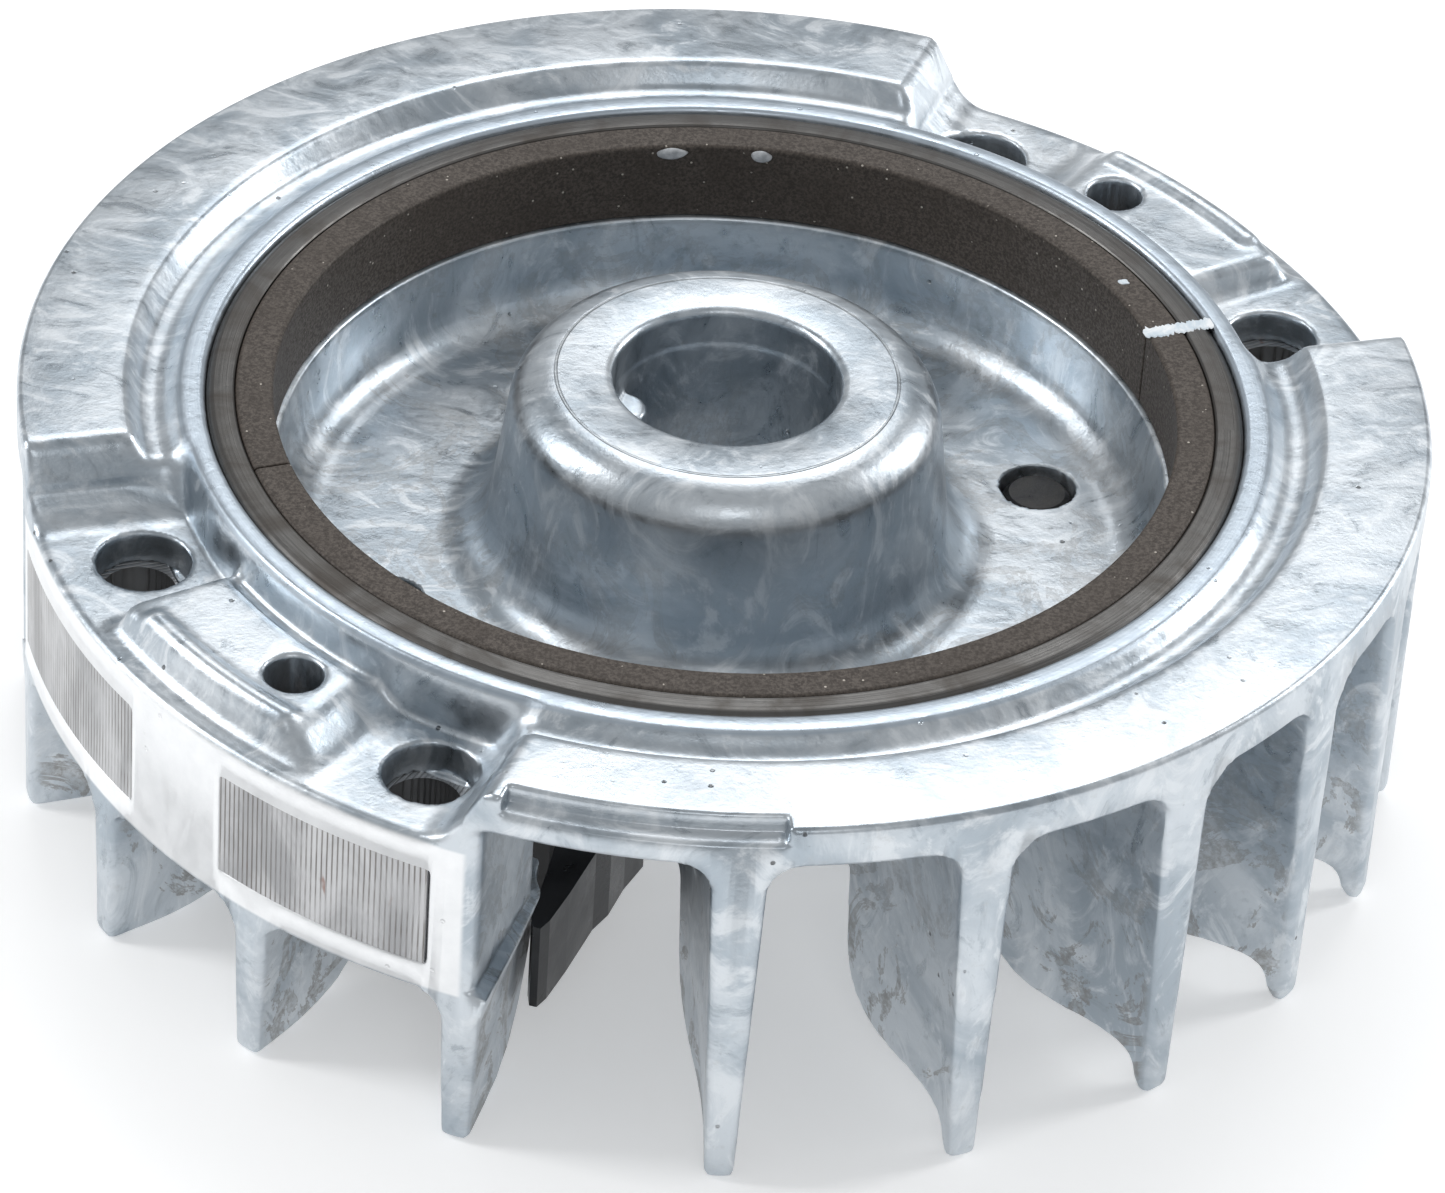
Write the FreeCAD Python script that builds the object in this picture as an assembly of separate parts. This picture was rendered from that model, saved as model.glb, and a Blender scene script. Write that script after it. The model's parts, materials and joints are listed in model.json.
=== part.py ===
import FreeCAD, Part
import math
import os

# Flywheel of a small two-stroke engine, millimetres.
# +Z points along the crankshaft towards the engine (stator) side.
# The origin is on the axis, at the height of the lip round the magnet ring.

# Overall sizes
rim_radius = 50.0
flange_top_z = 0.6
flange_thickness = 3.2
blade_tip_z = -29.8

# Magnet ring and its seat
seat_radius = 36.8
ring_thickness = 2.05
magnet_thickness = 2.7
seat_gap = 0.03
magnet_top_z = -0.1
magnet_joint_deg = 21.0
magnet_joint_gap = 0.12
lip_width = 1.9
lip_z = 0.0
lip_back_width = 1.9
trough_width = 2.2
trough_depth = 1.0
trough_sag = 0.25
plate_round_width = 0.5
plate_round_drop = 0.3
rim_chamfer = 0.2
ring_chamfer = 0.45

# Bowl inside the magnet ring: drafted wall, floor and hub
magnet_seat_z = -6.3
floor_z = -13.0
floor_thickness = 2.3
seat_ledge = 5.2
bowl_draft = 0.4
bowl_fillet = 2.8
bowl_wall_thickness = 2.6
bowl_outer_round = 3.8
shoulder_z = -9.0
hub_top_z = 1.7
hub_flat_radius = 12.2
hub_radius = 15.4
hub_base_radius = 16.4
hub_fillet = 3.9
nut_boss_height = 4.7
nut_boss_radius = 13.0
nut_boss_flare = 1.5
underside_fillet = 2.5

# Crankshaft bore: a short round entry, then a taper with a cast-in key
bore_radius = 8.1
bore_entry_length = 3.0
bore_small_radius = 6.9
key_radius = 1.8
key_deg = 172.0
key_reach = 1.3
key_drop = 1.0
taper_step = 0.15

# Machined pads that carry the pole packs, one each side of the axis
pad_start_deg = 194.0
pad_end_deg = 253.5
pad_top_z = -4.5
pad_bottom_z = -17.3
pad_corner = 1.2
pad_overlap = 0.5
clear_start_deg = 196.0
clear_end_deg = 251.6
half_turn = 180.0

# Raised block on each pad
block_start_deg = 212.2
block_end_deg = 237.8
block_top_z = -2.3
block_outer_radius = 48.5
block_slope_deg = 2.6
block_slope = 1.0
ridge_height = 0.6
ridge_width = 1.1
groove_offset = 0.15
groove_width = 0.3
groove_depth = 0.45

# Holes in each pad
pin_hole_radius = 3.15
pin_hole_circle = 43.7
pin_hole_degs = (204.5, 245.0)
sight_hole_radius = 2.05
sight_hole_circle = 42.8
sight_hole_deg = 229.0

# Pole packs and ignition magnet, cast into each pad
pole_top_z = -7.0
pole_bottom_z = -15.1
pole_inner_radius = 40.9
pole_hole_radius = 2.6
first_pole_degs = (196.5, 219.0)
second_pole_degs = (229.8, 249.3)
block_magnet_degs = (219.3, 232.4)
block_magnet_outer_radius = 46.0

# Rebate in the flange's rim
rebate_start_deg = 255.0
rebate_end_deg = 277.0
rebate_width = 1.6
rebate_depth = 1.3

# Fan blades: directions of the ten blades of one half turn
blade_degs = (178.0, 196.0, 214.5, 233.0, 252.3, 273.5, 293.0, 311.2, 328.0, 343.3)
blade_pivot_distance = 9.3
blade_lean = 3.2
blade_root_half = 1.95
blade_tip_half = 1.0
blade_flare = 1.0
blade_flare_steps = 5
blade_tip_round = 0.5
blade_tip_width = 2.0
blade_step_rise = 2.8
blade_step_height = 0.6
blade_step_width = 1.6
blade_belly = 0.5
blade_inner_rise = 3.4
blade_inner_sag = 0.3
pad_blade_flat = 6.0
pad_blade_rise = 9.0
pad_blade_bulge = 0.72
blade_inner_width = 2.5
blade_inner_height = 4.0

# Starter pawls and their screws: sizes of the first, and the second is half a turn on
pivot_radius = 24.9
pivot_deg = 202.2
pivot_boss_radius = 5.6
pivot_boss_height = 2.7
screw_radius = 2.5
screw_clearance = 0.03
screw_end_drop = 0.45
screw_end_chamfer = 0.45
screw_mouth_radius = 2.75
screw_mouth_depth = 0.9
shoulder_radius = 3.0
shoulder_clearance = 0.05
washer_thickness = 0.6
washer_radius = 5.2
pawl_gap = 0.15
pawl_thickness = 7.0
pawl_hub_radius = 5.4
pawl_inner_reach = 2.9
pawl_outer_reach = 3.1
pawl_heel_deg = 2.0
pawl_tail_overlap_deg = 3.0
pawl_tail = (
    (-2.9, 247.0),
    (2.1, 247.5),
    (5.5, 251.3),
    (8.5, 252.3),
    (11.1, 252.9),
    (13.3, 253.4),
    (14.3, 254.1),
    (14.3, 254.9),
    (13.2, 255.4),
    (10.0, 256.0),
    (5.0, 256.8),
    (3.1, 258.0),
    (0.0, 258.7),
    (-2.9, 260.5),
)
pawl_tooth = ((-1.9, 246.0), (-6.3, 248.5), (-7.1, 253.5), (-1.9, 259.0))
screw_head_radius = 4.6
screw_head_height = 2.4
screw_head_chamfer = 0.4
screw_socket_width = 4.0
screw_socket_depth = 1.6

# Pawl spring
spring_wire_radius = 0.45
spring_turns = 1
spring_coil_radius = 6.3
spring_turn_gap = 0.15
spring_leg_length = 11.0

UP = FreeCAD.Vector(0, 0, 1)
AXIS_POINT = FreeCAD.Vector(0, 0, 0)
bowl_radius = seat_radius - seat_ledge
bowl_outer_radius = bowl_radius + bowl_wall_thickness
floor_underside_z = floor_z - floor_thickness
nut_seat_z = floor_underside_z - nut_boss_height
pivot_boss_z = floor_underside_z - pivot_boss_height
flange_underside_z = flange_top_z - flange_thickness
lip_radius = seat_radius + lip_width
wall_radius = lip_radius + lip_back_width
trough_z = lip_z - trough_depth
trough_radius = wall_radius
plate_radius = trough_radius + trough_width
blade_step_z = blade_tip_z + blade_step_rise
blade_inner_z = blade_tip_z + blade_inner_rise
blade_inner_radius = pivot_radius + blade_pivot_distance
washer_low_z = pivot_boss_z - washer_thickness
pawl_high_z = washer_low_z - pawl_gap
pawl_low_z = pawl_high_z - pawl_thickness
overshoot = 1.0
far = 2.0 * rim_radius


def point(radius, degrees, z):
    """A point given by radius, direction and height."""
    turn = math.radians(degrees)
    return FreeCAD.Vector(radius * math.cos(turn), radius * math.sin(turn), z)


def turned(shape, degrees):
    """A copy of the shape, turned about the crankshaft axis."""
    copy = shape.copy()
    copy.rotate(AXIS_POINT, UP, degrees)
    return copy


def outline(steps):
    """Closed face in the radius-height plane; a step of four numbers is an arc's middle and end."""
    edges = []
    last = FreeCAD.Vector(steps[0][0], 0, steps[0][1])
    for step in steps[1:] + steps[:1]:
        end = FreeCAD.Vector(step[-2], 0, step[-1])
        if len(step) == 4:
            middle = FreeCAD.Vector(step[0], 0, step[1])
            edges.append(Part.Arc(last, middle, end).toShape())
        elif last.distanceToPoint(end) > 1e-6:
            edges.append(Part.LineSegment(last, end).toShape())
        last = end
    return Part.Face(Part.Wire(edges))


def spun(steps, start_deg=0.0, end_deg=360.0):
    """Solid swept by an outline between two directions."""
    face = turned(outline(steps), start_deg)
    return face.revolve(AXIS_POINT, UP, end_deg - start_deg)


def sector(inner, outer, start_deg, end_deg, low, high):
    """Block between two radii, two directions and two heights."""
    return spun([(inner, low), (outer, low), (outer, high), (inner, high)], start_deg, end_deg)


def rod(radius, place, length):
    """Round rod that rises from a point."""
    return Part.makeCylinder(radius, length, place, UP)


def arc_point(centre_r, centre_z, radius, degrees):
    """Radius and height of a point on a rounding."""
    turn = math.radians(degrees)
    return centre_r + radius * math.cos(turn), centre_z + radius * math.sin(turn)


def disc():
    """Hub, bowl, ring wall and flange, all round."""
    crown = hub_radius - hub_flat_radius
    crown_mid = arc_point(hub_flat_radius, hub_top_z - crown, crown, 45)
    fillet_r = hub_base_radius + hub_fillet
    fillet_z = floor_z + hub_fillet
    fillet_mid = arc_point(fillet_r, fillet_z, hub_fillet, 225)
    fillet = underside_fillet
    bowl_low_r = bowl_radius - bowl_draft
    bowl_mid = arc_point(bowl_low_r - bowl_fillet, floor_z + bowl_fillet, bowl_fillet, -45)
    round_r = bowl_outer_radius - bowl_outer_round
    round_z = floor_underside_z + bowl_outer_round
    round_mid = arc_point(round_r, round_z, bowl_outer_round, -45)
    inner_r = nut_boss_radius + nut_boss_flare + fillet
    inner_mid = arc_point(inner_r, floor_underside_z - fillet, fillet, 135)
    outer_r = wall_radius + fillet
    outer_mid = arc_point(outer_r, flange_underside_z - fillet, fillet, 135)
    trough_mid = (trough_radius, trough_z - trough_sag)
    steps = [
        (bore_small_radius - overshoot, hub_top_z),
        (hub_flat_radius, hub_top_z),
        crown_mid + (hub_radius, hub_top_z - crown),
        (hub_base_radius, fillet_z),
        fillet_mid + (fillet_r, floor_z),
        (bowl_low_r - bowl_fillet, floor_z),
        bowl_mid + (bowl_low_r, floor_z + bowl_fillet),
        (bowl_radius, magnet_seat_z),
        (seat_radius, magnet_seat_z),
        (seat_radius, lip_z),
        (lip_radius, lip_z),
        trough_mid + (plate_radius - plate_round_width, flange_top_z - plate_round_drop),
        (plate_radius, flange_top_z),
        (rim_radius - rim_chamfer, flange_top_z),
        (rim_radius, flange_top_z - rim_chamfer),
        (rim_radius, flange_underside_z),
        (outer_r, flange_underside_z),
        outer_mid + (wall_radius, flange_underside_z - fillet),
        (wall_radius, shoulder_z),
        (bowl_outer_radius, shoulder_z),
        (bowl_outer_radius, round_z),
        round_mid + (round_r, floor_underside_z),
        (inner_r, floor_underside_z),
        inner_mid + (inner_r - fillet, floor_underside_z - fillet),
        (nut_boss_radius, nut_seat_z),
        (bore_small_radius - overshoot, nut_seat_z),
    ]
    return spun(steps)


def bore_cut():
    """Crankshaft bore: round entry above, taper below."""
    entry_z = hub_top_z - bore_entry_length
    steps = [
        (0.0, nut_seat_z - overshoot),
        (bore_small_radius, nut_seat_z - overshoot),
        (bore_small_radius, nut_seat_z),
        (bore_radius - taper_step, entry_z),
        (bore_radius, entry_z),
        (bore_radius, hub_top_z + overshoot),
        (0.0, hub_top_z + overshoot),
    ]
    return spun(steps)


def bore_key():
    """Round-backed key cast into the taper, short of the entry."""
    key_top_z = hub_top_z - bore_entry_length - key_drop
    foot = point(bore_small_radius + key_radius - key_reach, key_deg, nut_seat_z)
    return rod(key_radius, foot, key_top_z - nut_seat_z)


def pad_block():
    """Solid pad between the ring wall and the machined outer face, up to the flange."""
    inner = lip_radius - pad_overlap
    block = sector(inner, rim_radius, pad_start_deg, pad_end_deg, pad_bottom_z, flange_underside_z)
    corners = [edge for edge in block.Edges if is_outer_upright(edge)]
    return block.makeFillet(pad_corner, corners)


def is_outer_upright(edge):
    """True for an upright edge on the outer face of a pad."""
    first = edge.Vertexes[0].Point
    last = edge.Vertexes[-1].Point
    upright = abs(first.x - last.x) + abs(first.y - last.y) < 1e-6
    return upright and math.hypot(first.x, first.y) > rim_radius - 1e-3


def raised_block():
    """Block between the pin holes, with sloping ends and sides."""
    low = block_outline(pad_top_z - pad_overlap, block_start_deg, block_end_deg, block_outer_radius)
    high = block_outline(
        block_top_z,
        block_start_deg + block_slope_deg,
        block_end_deg - block_slope_deg,
        block_outer_radius - block_slope,
    )
    return Part.makeLoft([low, high], True, True)


def block_outline(z, start_deg, end_deg, outer):
    """Outline of the raised block at one height."""
    inner = lip_radius
    middle_deg = (start_deg + end_deg) / 2.0
    outer_arc = Part.Arc(point(outer, start_deg, z), point(outer, middle_deg, z), point(outer, end_deg, z))
    inner_arc = Part.Arc(point(inner, end_deg, z), point(inner, middle_deg, z), point(inner, start_deg, z))
    side = Part.LineSegment(point(outer, end_deg, z), point(inner, end_deg, z))
    other_side = Part.LineSegment(point(inner, start_deg, z), point(outer, start_deg, z))
    return Part.Wire([outer_arc.toShape(), side.toShape(), inner_arc.toShape(), other_side.toShape()])


def block_ridge():
    """Low rounded ridge along the raised block's outer edge."""
    outer = block_outer_radius - block_slope
    inner = outer - ridge_width
    middle = (inner + outer) / 2.0
    steps = [
        (inner, block_top_z - ridge_height),
        (outer, block_top_z - ridge_height),
        (outer, block_top_z),
        (middle, block_top_z + ridge_height, inner, block_top_z),
    ]
    return spun(steps, block_start_deg + block_slope_deg, block_end_deg - block_slope_deg)


def clear_above_pad():
    """Space over a pad, between the back of the lip and the ends of the flange."""
    high = flange_top_z + overshoot
    return sector(lip_radius, far, clear_start_deg, clear_end_deg, pad_top_z, high)


def pad_holes():
    """Pin holes over and under the pole packs, and the sight hole over the magnet."""
    holes = []
    for degrees in pin_hole_degs:
        holes.append(rod(pin_hole_radius, point(pin_hole_circle, degrees, pole_top_z), far))
        holes.append(rod(pole_hole_radius, point(pin_hole_circle, degrees, pad_bottom_z - overshoot), far))
    foot = point(sight_hole_circle, sight_hole_deg, pole_top_z - seat_gap)
    holes.append(rod(sight_hole_radius, foot, far))
    return holes


def groove():
    """Fine groove between the raised block and the machined face."""
    inner = block_outer_radius + groove_offset
    low = pad_top_z - groove_depth
    high = pad_top_z + overshoot
    return sector(inner, inner + groove_width, block_start_deg, block_end_deg, low, high)


def pole_bar(limits):
    """Whole curved bar that a pole pack is made from."""
    start_deg, end_deg = limits
    return sector(pole_inner_radius, rim_radius, start_deg, end_deg, pole_bottom_z, pole_top_z)


def block_magnet():
    """Ignition magnet between the two pole packs."""
    start_deg, end_deg = block_magnet_degs
    outer = block_magnet_outer_radius
    return sector(pole_inner_radius, outer, start_deg, end_deg, pole_bottom_z, pole_top_z)


def pole_pack(limits, hole_deg):
    """Laminated pole pack with its locating hole, notched where the magnet lies."""
    hole = rod(pole_hole_radius, point(pin_hole_circle, hole_deg, pole_bottom_z - overshoot), far)
    return pole_bar(limits).cut([block_magnet(), hole])


def rebate():
    """Step in the flange's rim."""
    low = flange_top_z - rebate_depth
    high = flange_top_z + overshoot
    return sector(rim_radius - rebate_width, far, rebate_start_deg, rebate_end_deg, low, high)


def pivot_boss():
    """Boss under the floor that a pawl screw goes into."""
    height = floor_z - overshoot - pivot_boss_z
    return rod(pivot_boss_radius, point(pivot_radius, pivot_deg, pivot_boss_z), height)


def screw_hole():
    """Hole for a pawl screw, with a wider mouth in the floor."""
    foot = point(pivot_radius, pivot_deg, pivot_boss_z - overshoot)
    thread = rod(screw_radius + screw_clearance, foot, far)
    mouth = rod(screw_mouth_radius, point(pivot_radius, pivot_deg, floor_z - screw_mouth_depth), far)
    return [thread, mouth]


def casting():
    """Aluminium casting without its fan blades."""
    body = disc().fuse([turned(pad_block(), turn) for turn in (0.0, half_turn)])
    body = body.cut([turned(clear_above_pad(), turn) for turn in (0.0, half_turn)])
    added = []
    cuts = [bore_cut(), rebate()]
    for turn in (0.0, half_turn):
        extras = (raised_block(), block_ridge(), pivot_boss())
        added += [turned(shape, turn) for shape in extras]
        tools = screw_hole() + pad_holes() + [groove(), block_magnet()]
        tools += [pole_bar(first_pole_degs), pole_bar(second_pole_degs)]
        cuts += [turned(tool, turn) for tool in tools]
    body = body.fuse(added).cut(cuts)
    return body.fuse(bore_key()).removeSplitter()


def flux_ring():
    """Steel ring that backs the magnets, chamfered at its outer top edge."""
    outer = seat_radius - seat_gap
    inner = outer - ring_thickness
    top = magnet_top_z
    steps = [
        (inner, magnet_seat_z),
        (outer, magnet_seat_z),
        (outer, top - ring_chamfer),
        (outer - ring_chamfer, top),
        (inner, top),
    ]
    return spun(steps)


def ring_magnet():
    """Half of the magnet ring inside the steel ring."""
    outer = seat_radius - 2.0 * seat_gap - ring_thickness
    inner = outer - magnet_thickness
    joint = math.degrees(magnet_joint_gap / inner) / 2.0
    start_deg = magnet_joint_deg + joint
    end_deg = magnet_joint_deg + half_turn - joint
    return sector(inner, outer, start_deg, end_deg, magnet_seat_z, magnet_top_z)


def blade_section(half, z):
    """Plan outline of a blade at one height, before its ends are trimmed."""
    outer = rim_radius + 2.0 * overshoot
    inner = blade_inner_radius - 6.0 * overshoot
    middle = (outer + inner) / 2.0
    bow = blade_lean / 4.0
    sides = []
    for side in (1.0, -1.0):
        start = FreeCAD.Vector(outer, side * half, z)
        through = FreeCAD.Vector(middle, side * half - bow, z)
        end = FreeCAD.Vector(inner, side * half - blade_lean, z)
        sides.append(Part.Arc(start, through, end).toShape())
    outer_end = Part.LineSegment(sides[1].Vertexes[0].Point, sides[0].Vertexes[0].Point).toShape()
    inner_end = Part.LineSegment(sides[0].Vertexes[-1].Point, sides[1].Vertexes[-1].Point).toShape()
    return Part.Wire([sides[0], inner_end, sides[1], outer_end])


def pad_blade_envelope():
    """Solid of revolution that trims a blade under a pad, with a full round lower corner."""
    flat_r = rim_radius - pad_blade_flat
    rise_z = blade_tip_z + pad_blade_rise
    corner_r = flat_r - pad_blade_bulge * (flat_r - blade_inner_radius)
    corner_z = rise_z - pad_blade_bulge * pad_blade_rise
    tip_mid = arc_point(rim_radius - blade_tip_round, blade_tip_z + blade_tip_round, blade_tip_round, -45)
    steps = [
        (rim_radius, pad_bottom_z),
        (rim_radius, blade_tip_z + blade_tip_round),
        tip_mid + (rim_radius - blade_tip_round, blade_tip_z),
        (flat_r, blade_tip_z),
        (corner_r, corner_z, blade_inner_radius, rise_z),
        (blade_inner_radius, pad_bottom_z),
    ]
    return spun(steps)


def blade_envelope(root_z):
    """Solid of revolution that trims a blade's root, ends and lower edge."""
    tip_mid = arc_point(rim_radius - blade_tip_round, blade_tip_z + blade_tip_round, blade_tip_round, -45)
    shoulder = rim_radius - blade_tip_width
    step_mid = (rim_radius - blade_tip_width / 2.0, blade_tip_z + blade_step_height / 2.0)
    inner_r = blade_inner_radius + blade_inner_width
    belly_r = (inner_r + shoulder - blade_step_width) / 2.0
    belly = (belly_r, blade_step_z - blade_belly)
    inner_mid = (blade_inner_radius + blade_tip_round, blade_inner_z + 2.0 * blade_step_height)
    fillet_r = wall_radius + underside_fillet
    fillet_z = root_z - underside_fillet
    fillet_mid = arc_point(fillet_r, fillet_z, underside_fillet, 135)
    steps = [
        (rim_radius, root_z),
        (rim_radius, blade_tip_z + blade_tip_round),
        tip_mid + (rim_radius - blade_tip_round, blade_tip_z),
        step_mid + (shoulder + blade_inner_sag, blade_step_z - blade_step_height),
        (shoulder - blade_tip_round, blade_step_z),
        (shoulder - blade_step_width, blade_step_z),
        belly + (inner_r, blade_inner_z - blade_inner_sag),
        inner_mid + (blade_inner_radius, blade_inner_z + blade_inner_height),
        (blade_inner_radius, shoulder_z),
        (wall_radius, shoulder_z),
        (wall_radius, fillet_z),
        fillet_mid + (fillet_r, root_z),
    ]
    return spun(steps)


def blade(root_z, envelope):
    """One drafted fan blade with a flared root, pointing along +X."""
    draft = (blade_root_half - blade_tip_half) / (flange_underside_z - blade_tip_z)
    sections = []
    for step in range(blade_flare_steps + 1):
        turn = math.pi / 2.0 * step / blade_flare_steps
        z = root_z - blade_flare * math.sin(turn)
        spread = blade_flare * (1.0 - math.cos(math.pi / 2.0 - turn))
        half = blade_tip_half + draft * (z - blade_tip_z)
        sections.append(blade_section(half + spread, z))
    sections.append(blade_section(blade_tip_half, blade_tip_z))
    rough = Part.makeLoft(sections, True, True)
    return rough.common(envelope)


def on_pad(degrees):
    """True where a blade hangs from a pad and not from the flange."""
    return pad_start_deg < degrees < pad_end_deg


def fan_blades():
    """Blades of both half turns, by node name."""
    blades = {}
    for number, degrees in enumerate(blade_degs):
        if on_pad(degrees):
            shape = blade(pad_bottom_z, pad_blade_envelope())
        else:
            shape = blade(flange_underside_z, blade_envelope(flange_underside_z))
        for extra, turn in ((0, 0.0), (len(blade_degs), half_turn)):
            blades["fan_blade_%02d" % (number + extra + 1)] = turned(shape, degrees + turn)
    return blades


def plate(corners, low, high):
    """Flat plate whose corners are given by radius and direction."""
    corner_points = [point(radius, degrees, low) for radius, degrees in corners]
    face = Part.Face(Part.makePolygon(corner_points + corner_points[:1]))
    return face.extrude(FreeCAD.Vector(0, 0, high - low))


def from_pivot_circle(corners):
    """Corners with their distance from the pivot circle made into a radius."""
    return [(pivot_radius + reach, degrees) for reach, degrees in corners]


def pawl():
    """Starter pawl: hub on the shoulder screw, curved arm, inward tooth and outward tail."""
    heel_deg = pivot_deg - pawl_heel_deg
    end_deg = pawl_tail[0][1] + pawl_tail_overlap_deg
    inner = pivot_radius - pawl_inner_reach
    outer = pivot_radius + pawl_outer_reach
    arm = sector(inner, outer, heel_deg, end_deg, pawl_low_z, pawl_high_z)
    hub = rod(pawl_hub_radius, point(pivot_radius, pivot_deg, pawl_low_z), pawl_thickness)
    tail = plate(from_pivot_circle(pawl_tail), pawl_low_z, pawl_high_z)
    tooth = plate(from_pivot_circle(pawl_tooth), pawl_low_z, pawl_high_z)
    foot = point(pivot_radius, pivot_deg, pawl_low_z - overshoot)
    hole = rod(shoulder_radius + shoulder_clearance, foot, far)
    return arm.fuse([hub, tail, tooth]).cut(hole).removeSplitter()


def washer():
    """Thrust washer between the boss and the pawl."""
    place = point(pivot_radius, pivot_deg, washer_low_z)
    ring = rod(washer_radius, place, washer_thickness)
    return ring.cut(rod(shoulder_radius + shoulder_clearance, place, washer_thickness))


def screw():
    """Shoulder screw with a hexagon socket, its threaded end showing in the floor."""
    head_low_z = pawl_low_z - pawl_gap - screw_head_height
    shoulder_low_z = pawl_low_z - pawl_gap
    screw_end_z = floor_z - screw_end_drop
    chamfer_z = screw_end_z - screw_end_chamfer
    steps = [
        (0.0, head_low_z),
        (screw_head_radius - screw_head_chamfer, head_low_z),
        (screw_head_radius, head_low_z + screw_head_chamfer),
        (screw_head_radius, shoulder_low_z),
        (shoulder_radius, shoulder_low_z),
        (shoulder_radius, pivot_boss_z),
        (screw_radius, pivot_boss_z),
        (screw_radius, chamfer_z),
        (screw_radius - screw_end_chamfer, screw_end_z),
        (0.0, screw_end_z),
    ]
    corners = [(screw_socket_width / math.sqrt(3.0), 60.0 * side) for side in range(6)]
    socket = plate(corners, head_low_z - overshoot, head_low_z + screw_socket_depth)
    shape = spun(steps).cut(socket)
    shape.translate(point(pivot_radius, pivot_deg, 0.0))
    return shape


def pawl_spring():
    """Wire spring: coils round the boss, an end in the floor and a leg over the pawl."""
    coil_low_z = pivot_boss_z + spring_wire_radius
    pitch = 2.0 * spring_wire_radius + spring_turn_gap
    height = pitch * spring_turns
    helix = Part.makeHelix(pitch, height, spring_coil_radius)
    start = point(spring_coil_radius, 0.0, 0.0)
    profile = Part.Wire(Part.makeCircle(spring_wire_radius, start, FreeCAD.Vector(0, 1, 0)))
    coil = Part.Wire(helix.Edges).makePipeShell([profile], True, True)
    leg = Part.makeCylinder(spring_wire_radius, spring_leg_length, start, FreeCAD.Vector(0, -1, 0))
    post_height = floor_underside_z - coil_low_z - height
    post = rod(spring_wire_radius, point(spring_coil_radius, 0.0, height), post_height)
    shape = coil.fuse([leg, post])
    shape.translate(point(pivot_radius, pivot_deg, coil_low_z))
    return shape


nodes = {
    "casting_body": casting(),
    "flux_ring": flux_ring(),
    "ring_magnet_a": ring_magnet(),
    "ring_magnet_b": turned(ring_magnet(), half_turn),
    "ignition_magnet": block_magnet(),
    "ignition_pole_leading": pole_pack(first_pole_degs, pin_hole_degs[0]),
    "ignition_pole_trailing": pole_pack(second_pole_degs, pin_hole_degs[1]),
    "balance_magnet": turned(block_magnet(), half_turn),
    "balance_pole_leading": turned(pole_pack(first_pole_degs, pin_hole_degs[0]), half_turn),
    "balance_pole_trailing": turned(pole_pack(second_pole_degs, pin_hole_degs[1]), half_turn),
}
for letter, turn in (("a", 0.0), ("b", half_turn)):
    nodes["starter_pawl_" + letter] = turned(pawl(), turn)
    nodes["pawl_washer_" + letter] = turned(washer(), turn)
    nodes["pawl_screw_" + letter] = turned(screw(), turn)
    nodes["pawl_spring_" + letter] = turned(pawl_spring(), turn)
nodes.update(fan_blades())

os.makedirs("parts", exist_ok=True)
for name, shape in nodes.items():
    shape.exportStep("parts/" + name + ".step")
    print(name, shape.isValid(), len(shape.Solids), round(shape.Volume, 1))
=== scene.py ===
import json
import math

import bmesh
import bpy
import numpy as np
from mathutils import Matrix, Vector


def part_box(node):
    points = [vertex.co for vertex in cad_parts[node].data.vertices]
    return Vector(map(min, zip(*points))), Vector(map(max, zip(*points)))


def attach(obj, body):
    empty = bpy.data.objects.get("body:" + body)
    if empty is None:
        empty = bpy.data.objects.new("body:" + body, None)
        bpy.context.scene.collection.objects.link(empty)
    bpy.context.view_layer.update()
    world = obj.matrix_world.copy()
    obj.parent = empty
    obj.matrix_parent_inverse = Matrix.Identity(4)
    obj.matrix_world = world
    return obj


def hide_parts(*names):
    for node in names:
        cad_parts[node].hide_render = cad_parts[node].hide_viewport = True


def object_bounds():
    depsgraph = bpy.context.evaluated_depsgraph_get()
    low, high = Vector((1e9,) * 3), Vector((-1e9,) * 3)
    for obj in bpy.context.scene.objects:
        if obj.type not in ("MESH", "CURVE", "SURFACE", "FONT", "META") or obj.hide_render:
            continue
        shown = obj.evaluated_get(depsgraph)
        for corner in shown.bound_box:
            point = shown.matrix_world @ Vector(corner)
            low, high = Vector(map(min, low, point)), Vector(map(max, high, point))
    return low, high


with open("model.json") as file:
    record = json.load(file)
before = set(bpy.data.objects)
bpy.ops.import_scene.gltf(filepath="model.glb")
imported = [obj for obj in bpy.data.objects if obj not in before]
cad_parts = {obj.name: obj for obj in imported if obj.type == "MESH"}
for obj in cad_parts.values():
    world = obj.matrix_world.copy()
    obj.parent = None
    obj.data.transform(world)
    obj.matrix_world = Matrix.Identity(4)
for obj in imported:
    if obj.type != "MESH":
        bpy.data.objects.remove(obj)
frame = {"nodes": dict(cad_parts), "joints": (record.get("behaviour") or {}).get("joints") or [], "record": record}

CAD_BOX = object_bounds()
MM = 0.001

# Sizes in millimetres, read from the frame


def low(node):
    return [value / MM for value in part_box(node)[0]]


def high(node):
    return [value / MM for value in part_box(node)[1]]


def mount(name):
    return next(item for item in frame["record"]["mounts"] if item["name"] == name)


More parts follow.
